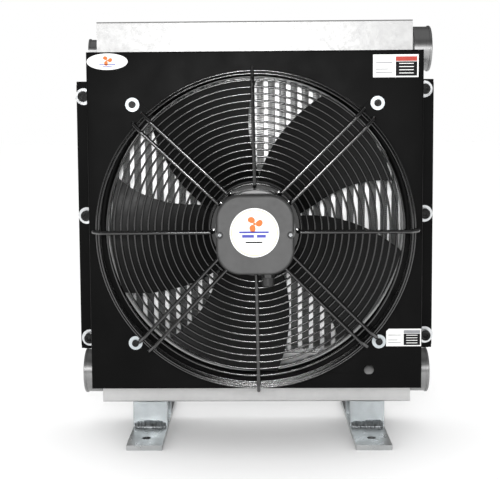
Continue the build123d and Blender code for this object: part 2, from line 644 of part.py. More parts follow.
def terminal_box():
    x = CORE_X + BOX_OFFSET[0]
    z = FAN_Z + BOX_OFFSET[1]
    body = box_shape(BOX_WIDTH, BOX_HEIGHT, BOX_CORNER, BOX_FRONT, BOX_BACK)
    inside = (BOX_WIDTH - 2 * BOX_WALL, BOX_HEIGHT - 2 * BOX_WALL, BOX_CORNER - BOX_WALL)
    body -= box_shape(*inside, BOX_FRONT - 1, BOX_BACK - BOX_WALL)
    gasket = box_shape(BOX_WIDTH, BOX_HEIGHT, BOX_CORNER, BOX_FRONT - GASKET, BOX_FRONT)
    gasket -= box_shape(*inside, BOX_FRONT - 9, BOX_FRONT + 1)
    cover_back = BOX_FRONT - GASKET
    cover = box_shape(COVER_WIDTH, COVER_HEIGHT, COVER_CORNER, COVER_FRONT, cover_back)
    cover = fillet(cover.edges().group_by(Axis.Y)[0], 2.5)
    cover -= box_shape(COVER_WIDTH - 2 * BOX_WALL, COVER_HEIGHT - 2 * BOX_WALL, COVER_CORNER - BOX_WALL,
                       COVER_FRONT + BOX_WALL, cover_back + 1)
    screws = []
    for side in (-1, 1):
        column_x = x + side * COVER_SCREW_X
        body += rod_y(column_x, depth(BOX_FRONT), depth(BOX_BACK), z, 4.6)
        body -= rod_y(column_x, depth(BOX_FRONT - 1), depth(BOX_FRONT + 14), z, 2.1)
        gasket -= rod_y(column_x, depth(BOX_FRONT - 9), depth(BOX_FRONT + 1), z, 2.4)
        seat = COVER_FRONT + COVER_RECESS
        cover += rod_y(column_x, depth(seat), depth(cover_back), z, 5.4)
        cover -= rod_y(column_x, depth(COVER_FRONT - 1), depth(seat), z, 5.2)
        cover -= rod_y(column_x, depth(COVER_FRONT - 1), depth(cover_back + 1), z, 2.4)
        head = rod_y(column_x, depth(seat - 2.6), depth(seat), z, 3.2)
        head = chamfer(head.edges().group_by(Axis.Y)[0], 0.7)
        slot = block(column_x - 2.0, column_x + 2.0, depth(seat - 3), depth(seat - 1.4),
                     z - 0.5, z + 0.5)
        cross = slot + Pos(column_x, 0, z) * Rot(0, 90, 0) * Pos(-column_x, 0, -z) * slot
        screws.append(head + rod_y(column_x, depth(seat), depth(BOX_FRONT + 13), z, 2.0)
                      - cross)
    gland_x = CORE_X + GLAND_X
    floor = z - BOX_HEIGHT / 2
    body -= rod_z(gland_x, depth(GLAND_DEPTH), floor - 1, floor + 4, 6.3)
    save("terminal_box_body", body)
    save("terminal_box_gasket", gasket)
    save("terminal_box_cover", cover)
    save("cover_screws", *screws)
    cable_gland(gland_x, depth(GLAND_DEPTH), floor)
    terminal_block(x, z)
    disc = slab_y(Circle(34.8), x - 1.0, depth(COVER_FRONT - 0.6), depth(COVER_FRONT), z + 3.6)
    save("cover_label", disc)


def cable_gland(x, y, floor):
    """Gland under the box: locknut, threaded body, dome nut and rubber seal."""
    outside = Plane.XY.offset(floor - 5.5) * Pos(x, y) * RegularPolygon(GLAND_RADIUS, 6)
    body = extrude(outside, amount=5.5) + rod_z(x, y, floor, floor + 9, 6.0)
    body += rod_z(x, y, floor - 15, floor - 5.5, 6.0)
    body -= rod_z(x, y, floor - 16, floor + 10, 4.4)
    dome = rod_z(x, y, floor - 19.5, floor - 5.8, GLAND_RADIUS - 0.4)
    dome = fillet(dome.edges().group_by(Axis.Z)[0], 4.0)
    dome -= rod_z(x, y, floor - 16.5, floor - 5, 6.2)
    dome -= rod_z(x, y, floor - 21, floor - 5, 4.2)
    seal = rod_z(x, y, floor - 16.0, floor - 7, 4.1) - rod_z(x, y, floor - 17, floor - 10, 1.5)
    locknut = extrude(Plane.XY.offset(floor + 3.8) * Pos(x, y) * RegularPolygon(7.8, 6), amount=4)
    locknut -= rod_z(x, y, floor, floor + 9, 6.1)
    save("gland_body", body)
    save("gland_nut", dome)
    save("gland_seal", seal)
    save("gland_locknut", locknut)


def terminal_block(x, z):
    """Row of connection clamps on the floor of the box."""
    low = depth(BOX_BACK - 3)
    block_body = block(x - 30, x + 30, low - 14, low, z + 6, z + 22)
    screws = []
    for i in range(5):
        column = x - 24 + i * 12
        block_body -= rod_y(column, low - 15, low - 6, z + 14, 3.4)
        screws.append(rod_y(column, low - 12, low - 6, z + 14, 3.0))
    save("terminal_block", block_body)
    save("terminal_screws", *screws)


# ---------------------------------------------------------------- motor and fan
def stator():
    """Fixed half of the external-rotor motor: flange with bearing tube, core, windings."""
    hub_back = HUB_RING_DEPTH + HUB_RING_SHEET
    flange = rod_y(CORE_X, depth(BOX_BACK), depth(HUB_RING_DEPTH), FAN_Z, CARRIER_RADIUS)
    flange = chamfer(flange.edges().group_by(Axis.Y)[0], 1.2)
    flange -= tube_y(CORE_X, depth(BOX_BACK + 5), depth(HUB_RING_DEPTH + 1), FAN_Z, 46.0, 26.0)
    flange += rod_y(CORE_X, depth(HUB_RING_DEPTH), depth(hub_back), FAN_Z, 39.7)
    flange += rod_y(CORE_X, depth(hub_back), depth(27), FAN_Z, 22.0)
    carrier = flange - rod_y(CORE_X, depth(-40), depth(28), FAN_Z, 15.0)
    carrier -= rod_y(CORE_X + 35, depth(BOX_BACK - 1), depth(-38), FAN_Z, 4.0)
    for front in BEARING_DEPTHS:
        carrier -= rod_y(CORE_X, depth(front), depth(front + BEARING_WIDTH + 2), FAN_Z, 17.5)
    screws = []
    for angle in (0, 90, 180, 270):
        spot = fan_point(angle, MOTOR_SCREW_CIRCLE, 0)
        carrier -= rod_y(spot.X, depth(BOX_BACK + 5), depth(-30), spot.Z, M6_RADIUS + 0.3)
        shank = rod_y(spot.X, depth(BOX_BACK + 6), depth(hub_back), spot.Z, M6_RADIUS)
        screws.append(shank + hex_y(spot.X, depth(hub_back), depth(hub_back + 4), spot.Z, 10))
    save("stator_carrier", carrier)
    save("motor_screws", *screws)
    stack = tube_y(CORE_X, depth(STACK[0]), depth(STACK[1]), FAN_Z, STACK_RADIUS, 22.2)
    slots = []
    for i in range(24):
        spot = fan_point(i * 15, 42, 0)
        slot = rod_y(spot.X, depth(STACK[0] - 1), depth(STACK[1] + 1), spot.Z, 3.2)
        slots.append(slot)
    save("stator_core", stack - slots)
    ends = []
    for start in (STACK[0] - 9.3, STACK[1] + 0.3):
        coil = tube_y(CORE_X, depth(start), depth(start + 9), FAN_Z, 46.5, 26)
        ends.append(fillet(coil.edges(), 2.0))
    save("stator_windings", *ends)


def bearings():
    """Two deep-groove ball bearings between the carrier tube and the shaft."""
    outer, inner, balls, cages = [], [], [], []
    for front in BEARING_DEPTHS:
        middle = Pos(CORE_X, depth(front + BEARING_WIDTH / 2), FAN_Z)
        groove = middle * Rot(90, 0, 0) * Torus(BALL_CIRCLE, GROOVE_RADIUS)
        y0, y1 = depth(front), depth(front + BEARING_WIDTH)
        outer.append(tube_y(CORE_X, y0, y1, FAN_Z, 17.4, 14.4) - groove)
        inner.append(tube_y(CORE_X, y0, y1, FAN_Z, 10.6, SHAFT_RADIUS) - groove)
        cage = tube_y(CORE_X, y0 + 1.6, y1 - 1.6, FAN_Z, 13.3, 11.7)
        for i in range(BALL_COUNT):
            centre = fan_point(i * 360 / BALL_COUNT, BALL_CIRCLE, front + BEARING_WIDTH / 2)
            outward = Vector(centre.X - CORE_X, 0, centre.Z - FAN_Z)
            cage -= Plane(origin=centre, z_dir=outward) * Cylinder(BALL_RADIUS + 0.1, 6)
            balls.append(Pos(*centre) * Sphere(BALL_RADIUS))
        cages.append(cage)
    save("bearing_outer_races", *outer)
    save("bearing_inner_races", *inner)
    save("bearing_balls", *balls)
    save("bearing_cages", *cages)


def rotor():
    """Turning half of the motor: can, cage and shaft."""
    wall = 3.0
    can = rod_y(CORE_X, depth(CAN_FRONT), depth(CAN_BACK), FAN_Z, CAN_RADIUS)
    can = fillet(can.edges().group_by(Axis.Y)[-1], 5.0)
    can -= rod_y(CORE_X, depth(CAN_FRONT - 1), depth(CAN_BACK - wall - 1), FAN_Z, CAN_RADIUS - wall)
    can += rod_y(CORE_X, depth(29.5), depth(CAN_BACK - wall), FAN_Z, 13.0)
    can -= rod_y(CORE_X, depth(20), depth(CAN_BACK - 1), FAN_Z, SHAFT_RADIUS)
    save("rotor_can", can)
    cage = tube_y(CORE_X, depth(STACK[0]), depth(STACK[1]), FAN_Z, CAN_RADIUS - wall, 48.8)
    save("rotor_cage", cage)
    shaft = rod_y(CORE_X, depth(-38), depth(CAN_BACK - 1), FAN_Z, SHAFT_RADIUS)
    shaft = chamfer(shaft.edges().filter_by(GeomType.CIRCLE), 0.8)
    save("motor_shaft", shaft)


def blade_angles(radius):
    """Polar angles of the blade's front and rear edge at this radius."""
    front = 62.3 + 0.158 * (BLADE_TIP - radius)
    fall = 0.0018 if radius < 142 else 0.0008
    rear = 21.8 - fall * (radius - 142) ** 2
    return front, rear


def fan_blades():
    """Broad sickle blades, twisted less towards the tip and welded to the can."""
    rows = []
    for i in range(8):
        radius = BLADE_ROOT + (BLADE_TIP - BLADE_ROOT) * i / 7
        front, rear = blade_angles(radius)
        reach = 30.0 - 7.0 * i / 7
        row = []
        for j in range(7):
            share = j / 6
            angle = front + (rear - front) * share
            camber = 7.0 * (1 - (2 * share - 1) ** 2)
            row.append(fan_point(angle, radius, 3.0 - reach + 2 * reach * share + camber))
        rows.append(row)
    face = Face.make_surface_from_array_of_points(rows)
    blade = thicken(face, amount=BLADE_SHEET / 2, both=True)
    axis = Axis((CORE_X, 0, FAN_Z), (0, -1, 0))
    blades = [blade.rotate(axis, i * 360 / BLADE_COUNT) for i in range(BLADE_COUNT)]
    save("fan_blades", *blades)


# ---------------------------------------------------------------- labels
def labels():
    """Blank adhesive labels on the shroud plate."""
    skin = 0.5
    oval = slab_y(Ellipse(30.5, 12.1), CORE_X - 218.3, depth(-skin), depth(0), SHROUD_Z + 239.8)
    save("corner_badge", oval)
    plate = slab_y(Rectangle(67.0, 33.4), CORE_X + 208.4, depth(-skin), depth(0), SHROUD_Z + 230.4)
    save("upper_label", plate)
    outline = Polygon((-25.2, 9.5), (-25.2, -13.3), (27.4, -13.3), (27.4, 13.3), (-21.2, 13.3),
                      align=None)
    low = slab_y(outline, CORE_X + 221.5, depth(-skin), depth(0), SHROUD_Z - 176.0)
    save("lower_label", low)


def main():
    os.makedirs("parts", exist_ok=True)
    tanks()
    header_plates()
    tank_end_caps()
    oil_passages()
    air_fins()
    oil_turbulators()
    core_side_plates()
    oil_ports()
    plugged_port()
    side_brackets()
    bracket_screws()
    fan_shroud()
    shroud_fixings()
    feet()
    fan_guard()
    guard_fixings()
    terminal_box()
    stator()
    bearings()
    rotor()
    fan_blades()
    labels()


main()
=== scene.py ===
"""Looks of the hydraulic oil cooler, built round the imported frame."""

import math

import bpy
from mathutils import Matrix, Vector


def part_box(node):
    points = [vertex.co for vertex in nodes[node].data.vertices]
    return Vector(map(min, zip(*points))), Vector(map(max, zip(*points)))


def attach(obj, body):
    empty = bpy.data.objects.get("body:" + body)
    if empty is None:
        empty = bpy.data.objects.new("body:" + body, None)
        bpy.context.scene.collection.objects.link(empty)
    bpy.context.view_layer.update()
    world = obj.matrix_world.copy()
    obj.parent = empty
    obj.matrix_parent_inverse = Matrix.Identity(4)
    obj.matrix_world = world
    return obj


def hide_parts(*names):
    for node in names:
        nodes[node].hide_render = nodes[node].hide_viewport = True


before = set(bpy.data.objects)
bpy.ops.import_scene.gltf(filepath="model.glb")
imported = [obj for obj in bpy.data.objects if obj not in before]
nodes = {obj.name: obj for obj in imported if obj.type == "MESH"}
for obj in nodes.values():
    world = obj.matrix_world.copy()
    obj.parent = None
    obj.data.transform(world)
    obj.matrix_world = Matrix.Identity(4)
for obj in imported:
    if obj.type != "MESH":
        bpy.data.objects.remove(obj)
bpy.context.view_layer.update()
scene = bpy.context.scene
MM = 0.001

core_low, core_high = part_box("core_side_plates")
face_low, face_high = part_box("guard_face_rings")
CORE_X = (core_low.x + core_high.x) / 2
FAN_Z = (face_low.z + face_high.z) / 2
PLATE_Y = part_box("fan_shroud")[0].y
FOOT_WIDTH = 55 * MM
FLOOR_WELD, SADDLE_WELD = 10.5 * MM, 2.4 * MM
TOP_PORT_Z, LOW_PORT_Z = 0.613, 0.092
PORT_NECK_RADIUS = 33.1 * MM
PASSAGE_PITCH, FIN_GAP, FIN_COLUMNS = 17.6 * MM, 10.8 * MM, 28
THROAT_RADIUS, LEAD_IN, THROAT_DEPTH = 222.5 * MM, 6.0 * MM, 38.0 * MM
WALL_RING_RADIUS, THIN_RING_DEPTHS = 232.4 * MM, (30.5 * MM, 13.5 * MM)
PRINT = 0.06 * MM           # thickness of printed fields on the labels


# ------------------------------------------------------------------ materials
class Finish:
    """A Principled material with short calls for the nodes that feed it."""

    def __init__(self, name, colour, metallic=0.0, roughness=0.5, **sockets):
        self.material = bpy.data.materials.new(name)
        self.material.use_nodes = True
        self.tree = self.material.node_tree
        self.shader = self.tree.nodes["Principled BSDF"]
        self.shader.inputs["Base Color"].default_value = (*colour, 1)
        self.shader.inputs["Metallic"].default_value = metallic
        self.shader.inputs["Roughness"].default_value = roughness
        for key, value in sockets.items():
            self.shader.inputs[key.replace("_", " ")].default_value = value
        self.place = self.tree.nodes.new("ShaderNodeTexCoord").outputs["Object"]
        self.height = None

    def node(self, kind, **values):
        made = self.tree.nodes.new("ShaderNode" + kind)
        for key, value in values.items():
            if hasattr(value, "is_linked"):
                self.tree.links.new(value, made.inputs[key.replace("_", " ")])
            else:
                made.inputs[key.replace("_", " ")].default_value = value
        return made

    def stretched(self, x, y, z):
        return self.node("Mapping", Vector=self.place, Scale=(x, y, z)).outputs["Vector"]

    def noise(self, scale, detail=2.0, rough=0.5, at=None):
        made = self.node("TexNoise", Vector=at or self.place, Scale=scale, Detail=detail,
                         Roughness=rough)
        return made.outputs["Fac"]

    def spread(self, factor, low, high, start=0.3, end=0.7):
        made = self.node("MapRange", Value=factor)
        ends = {"From Min": start, "From Max": end, "To Min": low, "To Max": high}
        for key, value in ends.items():
            made.inputs[key].default_value = value
        return made.outputs["Result"]

    def tint(self, factor, low, high, start=0.3, end=0.7):
        """Base colour moving between two tones."""
        ramp = self.node("ValToRGB", Fac=factor)
        for stop, place, tone in ((0, start, low), (1, end, high)):
            ramp.color_ramp.elements[stop].position = place
            ramp.color_ramp.elements[stop].color = (*tone, 1)
        self.tree.links.new(ramp.outputs["Color"], self.shader.inputs["Base Color"])
        return self

    def shade(self, factor, low, high, start=0.3, end=0.7):
        """Roughness moving between two values."""
        value = self.spread(factor, low, high, start, end)
        self.tree.links.new(value, self.shader.inputs["Roughness"])
        return self

    def bump(self, height, distance, strength=1.0):
        made = self.node("Bump", Height=height, Distance=distance, Strength=strength)
        if self.height:
            self.tree.links.new(self.height, made.inputs["Normal"])
        self.height = made.outputs["Normal"]
        self.tree.links.new(self.height, self.shader.inputs["Normal"])
        return self


def grey(value):
    return (value, value, value)


def blasted_aluminium():
    """Matt mill aluminium with faint cloudy patches and grain."""
    f = Finish("blasted_aluminium", grey(0.6), 1.0, 0.5)
    f.tint(f.noise(60, 5, 0.65), grey(0.585), (0.62, 0.62, 0.615))
    f.shade(f.noise(160, 3), 0.47, 0.54)
    f.bump(f.noise(1400, 2), 0.00006)
    return f.bump(f.noise(90, 3), 0.00004, 0.5).material


def turned_aluminium():
    """Lathe-turned aluminium with tool lines round the port axis."""
    f = Finish("turned_aluminium", grey(0.66), 1.0, 0.3, Anisotropic=0.55)
    lines = f.noise(1.0, 3, 0.7, f.stretched(1500, 6, 6))
    f.tint(lines, grey(0.27), grey(0.33))
    f.shade(lines, 0.28, 0.38)
    return f.bump(lines, 0.00004).material


def core_aluminium():
    """Brighter rolled sheet of the core's oil passages."""
    f = Finish("core_aluminium", grey(0.9), 1.0, 0.45)
    f.tint(f.noise(20, 4), grey(0.84), grey(0.94))
    f.shade(f.noise(60, 3), 0.4, 0.54)
    return f.bump(f.noise(900, 2), 0.00006).material


def dimpled_aluminium():
    """Bright header sheet with the dimples left by brazing."""
    f = Finish("dimpled_aluminium", grey(0.95), 0.8, 0.3)
    f.tint(f.noise(60, 3), grey(0.88), grey(0.98))
    f.shade(f.noise(90, 3), 0.2, 0.38)
    return f.bump(f.noise(260, 3, 0.6), 0.003).material


def fin_foil():
    """Thin grey foil of the corrugated strips."""
    f = Finish("fin_foil", grey(0.6), 1.0, 0.42)
    f.tint(f.noise(220, 4, 0.7), grey(0.22), grey(0.58))
    return f.bump(f.noise(1.0, 2, 0.6, f.stretched(400, 60, 2500)), 0.0001).material


def powder_black():
    """Satin powder coat with a fine orange peel."""
    f = Finish("powder_black", grey(0.002), 0.0, 0.42, Specular_IOR_Level=0.06)
    f.tint(f.noise(14, 4), grey(0.0016), grey(0.0028))
    f.shade(f.noise(22, 3), 0.38, 0.48)
    return f.bump(f.noise(650, 1), 0.00006).material


def wire_black():
    """Glossier coat on the guard's drawn wire."""
    f = Finish("wire_black", grey(0.0015), 0.0, 0.1, Specular_IOR_Level=0.9)
    f.tint(f.noise(30, 3), grey(0.0012), grey(0.002))
    f.shade(f.noise(120, 2), 0.07, 0.13)
    return f.bump(f.noise(500, 1), 0.00005).material


def throat_painted_sheen():
    """Painted reflection: a pale, soft-gloss layer that stands for the light the black inlet wall
    reflects.
    """
    f = Finish("throat_painted_sheen", grey(0.7), 0.2, 0.35)
    f.tint(f.noise(20, 3), grey(0.6), grey(0.75))
    f.shade(f.noise(40, 3), 0.28, 0.42)
    return f.bump(f.noise(300, 1), 0.00008).material


def blade_black():
    """Satin paint on the blades and the motor's outer can."""
    f = Finish("blade_black", grey(0.003), 0.0, 0.4, Specular_IOR_Level=0.22)
    f.tint(f.noise(12, 5, 0.6), grey(0.002), grey(0.0045))
    f.shade(f.noise(25, 4), 0.34, 0.5)
    return f.bump(f.noise(420, 2), 0.0001).material


def zinc_plate(name, low, high, rough):
    """Zinc plating: bluish, with passivation clouds and rolled-steel grain."""
    f = Finish(name, high, 1.0, rough)
    f.tint(f.noise(26, 5, 0.65), low, high, 0.25, 0.75)
    f.shade(f.noise(55, 4), rough - 0.07, rough + 0.12)
    f.bump(f.noise(1.0, 3, 0.6, f.stretched(900, 40, 900)), 0.00006)
    return f.bump(f.noise(30, 2), 0.0002, 0.4).material


def motor_casting():
    """Die-cast aluminium of the motor's flange."""
    f = Finish("motor_casting", grey(0.2), 1.0, 0.5)
    f.tint(f.noise(40, 4), grey(0.15), grey(0.24))
    return f.bump(f.noise(900, 2), 0.0001).material


def black_oxide():
    """Oiled black oxide on the socket screws."""
    f = Finish("black_oxide", grey(0.02), 1.0, 0.36)
    f.tint(f.noise(160, 3), grey(0.014), grey(0.034))
    f.shade(f.noise(300, 2), 0.28, 0.46)
    return f.bump(f.noise(1200, 2), 0.00003).material


def ground_steel():
    """Steel with grinding lines across the bearing axis."""
    f = Finish("ground_steel", grey(0.6), 1.0, 0.22)
    lines = f.noise(1.0, 3, 0.6, f.stretched(4, 2400, 4))
    f.shade(lines, 0.14, 0.3)
    return f.bump(lines, 0.00003).material


def laminations():
    """Stack of thin stamped sheets, edge on."""
    f = Finish("laminations", grey(0.2), 1.0, 0.5)
    wave = f.node("TexWave", Vector=f.place, Scale=320.0, Distortion=0.4)
    wave.bands_direction = "Y"
    f.tint(wave.outputs["Fac"], grey(0.1), grey(0.28))
    return f.bump(wave.outputs["Fac"], 0.0001).material


def copper_winding():
    """Enamelled round wire laid in rings."""
    f = Finish("copper_winding", (0.45, 0.17, 0.06), 0.85, 0.3, Coat_Weight=0.4)
    wave = f.node("TexWave", Vector=f.place, Scale=260.0, Distortion=1.2, Detail=1.0)
    wave.wave_type = "RINGS"
    wave.rings_direction = "Y"
    f.tint(wave.outputs["Fac"], (0.25, 0.08, 0.03), (0.55, 0.22, 0.08))
    return f.bump(wave.outputs["Fac"], 0.0005).material


def moulded(name, tone, rough, grain=700, depth=0.00012):
    """Moulded plastic with a spark-eroded texture."""
    f = Finish(name, grey(tone), 0.0, rough)
    f.tint(f.noise(35, 3), grey(tone * 0.9), grey(tone * 1.12))
    f.shade(f.noise(150, 2), rough - 0.05, rough + 0.06)
    return f.bump(f.noise(grain, 3, 0.6), depth).material


def rubber():
    """Matt black rubber."""
    f = Finish("rubber", grey(0.015), 0.0, 0.75)
    f.tint(f.noise(200, 3), grey(0.01), grey(0.022))
    return f.bump(f.noise(900, 2), 0.0001).material


def printed(name, colour, gloss=0.5):
    """Printed vinyl with a soft film gloss."""
    f = Finish(name, colour, 0.0, 0.32, Specular_IOR_Level=gloss)
    lower = tuple(c * 0.93 for c in colour)
    f.tint(f.noise(90, 2), lower, colour)
    f.shade(f.noise(40, 2), 0.28, 0.38)
    return f.bump(f.noise(500, 1), 0.00002).material


def brass():
    """Brass of the connection screws."""
    f = Finish("brass", (0.62, 0.42, 0.16), 1.0, 0.3)
    f.tint(f.noise(220, 3), (0.5, 0.33, 0.12), (0.7, 0.5, 0.2))
    return f.bump(f.noise(1500, 2), 0.00003).material


def weld_metal():
    """Zinc-coated weld metal with uneven tone."""
    f = Finish("weld_metal", (0.5, 0.53, 0.55), 1.0, 0.4)
    f.tint(f.noise(180, 4), (0.36, 0.385, 0.4), (0.62, 0.65, 0.67))
    f.shade(f.noise(150, 3), 0.32, 0.5)
    return f.bump(f.noise(400, 3), 0.0001).material


def pale_floor():
    """Plain pale studio floor."""
    f = Finish("pale_floor", grey(0.93), 0.0, 0.9)
    f.tint(f.noise(0.8, 3), grey(0.92), grey(0.94))
    return f.bump(f.noise(30, 2), 0.0002).material


TANK = blasted_aluminium()
TURNED = turned_aluminium()
CORE = core_aluminium()
HEADER = dimpled_aluminium()
FOIL = fin_foil()
BLACK = powder_black()
WIRE = wire_black()
# pale colour that stands for the light the black inlet wall reflects: a painted reflection
PAINTED_SHEEN = throat_painted_sheen()
BLADE = blade_black()
FEET = zinc_plate("feet_zinc", (0.42, 0.45, 0.465), (0.55, 0.585, 0.6), 0.42)
BAR = zinc_plate("bar_zinc", (0.42, 0.435, 0.44), (0.56, 0.57, 0.57), 0.3)
BRIGHT = zinc_plate("bright_zinc", (0.5, 0.51, 0.52), (0.72, 0.73, 0.74), 0.28)
DULL_ZINC = zinc_plate("dull_zinc", (0.16, 0.165, 0.17), (0.3, 0.305, 0.31), 0.24)
CASTING = motor_casting()
OXIDE = black_oxide()
STEEL = ground_steel()
STACK = laminations()
COPPER = copper_winding()
COVER = moulded("cover_plastic", 0.056, 0.55)
PLASTIC = moulded("black_plastic", 0.014, 0.4)
PALE_PLASTIC = moulded("pale_plastic", 0.62, 0.45)
RUBBER = rubber()
WHITE = printed("print_white", (0.8, 0.8, 0.79), 0.2)
RED = printed("print_red", (0.42, 0.06, 0.045), 0.15)
INK = printed("print_black", (0.004, 0.004, 0.005), 0.12)
SILVER = printed("print_grey", (0.24, 0.245, 0.26), 0.15)
BLUE = printed("print_blue", (0.07, 0.075, 0.36), 0.15)
ORANGE = printed("print_orange", (0.72, 0.16, 0.04), 0.15)
SAND = printed("print_sand", (0.5, 0.38, 0.2), 0.15)
BRASS = brass()
WELD = weld_metal()
# real weld beads, coloured near-black as painted shade in the joint between port and tank
WELD_PAINTED_SHADE = moulded("weld_painted_shade", 0.08, 0.6, 500, 0.0002)
FLOOR = pale_floor()

DRESS = {
    "top_tank": TANK, "bottom_tank": TANK, "header_plates": HEADER, "tank_end_caps": TANK,
    "oil_passages": CORE, "core_side_plates": TANK, "air_fins": FOIL, "oil_turbulators": FOIL,
    "oil_ports": TURNED, "auxiliary_port": TURNED, "plug_seal": COPPER, "port_plug": BRIGHT,
    "left_side_bracket": BLACK, "right_side_bracket": BLACK, "bracket_screws": BRIGHT,
    "fan_shroud": BLACK, "shroud_bolts": OXIDE, "shroud_washers": BRIGHT, "shroud_nuts": BRIGHT,
    "foot_bars": BAR, "foot_uprights": FEET, "foot_saddles": FEET, "foot_welds": WELD,
    "foot_bolts": BRIGHT, "guard_face_rings": WIRE, "guard_wall_rings": WIRE,
    "guard_single_arms": WIRE, "guard_paired_arms": WIRE, "guard_hub_ring": WIRE,
    "guard_lugs": BLACK, "guard_screws": OXIDE, "guard_washers": FEET, "guard_nuts": BRIGHT,
    "terminal_box_body": PLASTIC, "terminal_box_gasket": RUBBER, "terminal_box_cover": COVER,
    "cover_screws": DULL_ZINC, "gland_body": PLASTIC, "gland_nut": PLASTIC, "gland_seal": RUBBER,
    "gland_locknut": PLASTIC, "terminal_block": PALE_PLASTIC, "terminal_screws": BRASS,
    "cover_label": WHITE, "stator_carrier": CASTING, "motor_screws": BRIGHT,
    "stator_core": STACK, "stator_windings": COPPER, "bearing_outer_races": STEEL,
    "bearing_inner_races": STEEL, "bearing_balls": STEEL, "bearing_cages": STEEL,
    "rotor_can": BLADE, "rotor_cage": STACK, "motor_shaft": STEEL, "fan_blades": BLADE,
    "corner_badge": WHITE, "upper_label": WHITE, "lower_label": WHITE,
}
for name, cad in nodes.items():
    cad.data.materials.clear()
    cad.data.materials.append(DRESS[name])


# ------------------------------------------------------------ rounded CAD edges
def edge_cleaner():
    """Node group that joins a mesh's split corners and shades it by edge angle."""
    group = bpy.data.node_groups.new("joined_corners", "GeometryNodeTree")
    group.interface.new_socket("Geometry", in_out="INPUT", socket_type="NodeSocketGeometry")
    group.interface.new_socket("Geometry", in_out="OUTPUT", socket_type="NodeSocketGeometry")
    start = group.nodes.new("NodeGroupInput")
    end = group.nodes.new("NodeGroupOutput")
    merge = group.nodes.new("GeometryNodeMergeByDistance")
    merge.inputs["Distance"].default_value = 1e-6
    forget = group.nodes.new("GeometryNodeRemoveAttribute")
    forget.inputs["Name"].default_value = "custom_normal"
    smooth = group.nodes.new("GeometryNodeSetShadeSmooth")
    smooth.domain = "FACE"
    crease = group.nodes.new("GeometryNodeSetShadeSmooth")
    crease.domain = "EDGE"
    crease.inputs["Shade Smooth"].default_value = False
    angle = group.nodes.new("GeometryNodeInputMeshEdgeAngle")
    over = group.nodes.new("FunctionNodeCompare")
    over.inputs["B"].default_value = math.radians(28)
    link = group.links.new
    link(start.outputs[0], merge.inputs["Geometry"])
    link(merge.outputs["Geometry"], forget.inputs["Geometry"])
    link(forget.outputs["Geometry"], smooth.inputs["Geometry"])
    link(smooth.outputs["Geometry"], crease.inputs["Geometry"])
    link(angle.outputs["Unsigned Angle"], over.inputs["A"])
    link(over.outputs["Result"], crease.inputs["Selection"])
    link(crease.outputs["Geometry"], end.inputs[0])
    return group


CLEANER = edge_cleaner()


def round_edges(name, width, segments=2):
    cad = nodes[name]
    cad.modifiers.new("joined", "NODES").node_group = CLEANER
    bevel = cad.modifiers.new("rounded", "BEVEL")
    bevel.width = width
    bevel.segments = segments
    bevel.limit_method = "ANGLE"
    bevel.angle_limit = math.radians(40)
    bevel.harden_normals = True


for name, width in (("top_tank", 0.8), ("bottom_tank", 0.8), ("header_plates", 0.4),
                    ("fan_shroud", 0.35), ("left_side_bracket", 0.4), ("right_side_bracket", 0.4),
                    ("foot_bars", 0.7), ("foot_uprights", 0.7), ("foot_saddles", 0.7),
                    ("oil_passages", 0.3), ("core_side_plates", 0.5)):
    round_edges(name, width * MM)


# ------------------------------------------------------------------- mesh tools
def piece(name, points, faces, material, body="cooler", smooth=False, slot=None):
    mesh = bpy.data.meshes.new(name)
    mesh.from_pydata(points, [], faces)
    mesh.validate()
    mesh.materials.append(material)
    mesh.shade_smooth() if smooth else mesh.shade_flat()
    made = bpy.data.objects.new(name, mesh)
    scene.collection.objects.link(made)
    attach(made, body)
    return made


def joined(parts):
    """Point and face lists of several shells as one."""
    points, faces = [], []
    for shell_points, shell_faces in parts:
        first = len(points)
        points += shell_points
        faces += [tuple(first + i for i in face) for face in shell_faces]
    return points, faces


def grid(rows, closed_rows=False, closed_columns=False):
    """Quads over a list of equally long rows of points."""
    count, width = len(rows), len(rows[0])
    points = [p for row in rows for p in row]
    faces = []
    for i in range(count if closed_rows else count - 1):
        for j in range(width if closed_columns else width - 1):
            a, b = i * width, ((i + 1) % count) * width
            k = (j + 1) % width
            faces.append((a + j, a + k, b + k, b + j))
    return points, faces


# ------------------------------------------------------------------ cooling fins
def air_fins():
    """Lanced corrugated strips between the oil passages, in four offset rows."""
    fold, skin = 1.65 * MM, 0.26 * MM
    low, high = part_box("air_fins")
    rows, front, depth = 4, low.y, high.y - low.y
    count = int((high.z - low.z) / fold) - 2
    parts = []
    half = FIN_GAP / 2 - 0.05 * MM
    for column in range(FIN_COLUMNS):
        middle = CORE_X + (column - (FIN_COLUMNS - 1) / 2) * PASSAGE_PITCH
        for row in range(rows):
            y0 = front + depth * row / rows
            y1 = y0 + depth / rows
            shift = fold / 2 if row % 2 else 0.0
            lines = []
            for k in range(count):
                side = half if k % 2 else -half
                z = low.z + fold + shift + k * fold
                x = middle + side
                lines.append([(x, y0, z + skin / 2), (x, y1, z + skin / 2),
                              (x, y1, z - skin / 2), (x, y0, z - skin / 2)])
            parts.append(grid(lines, closed_columns=True))
    points, faces = joined(parts)
    made = piece("louvred_fins", points, faces, FOIL, slot="aluminium_fin")
    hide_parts("air_fins")


air_fins()


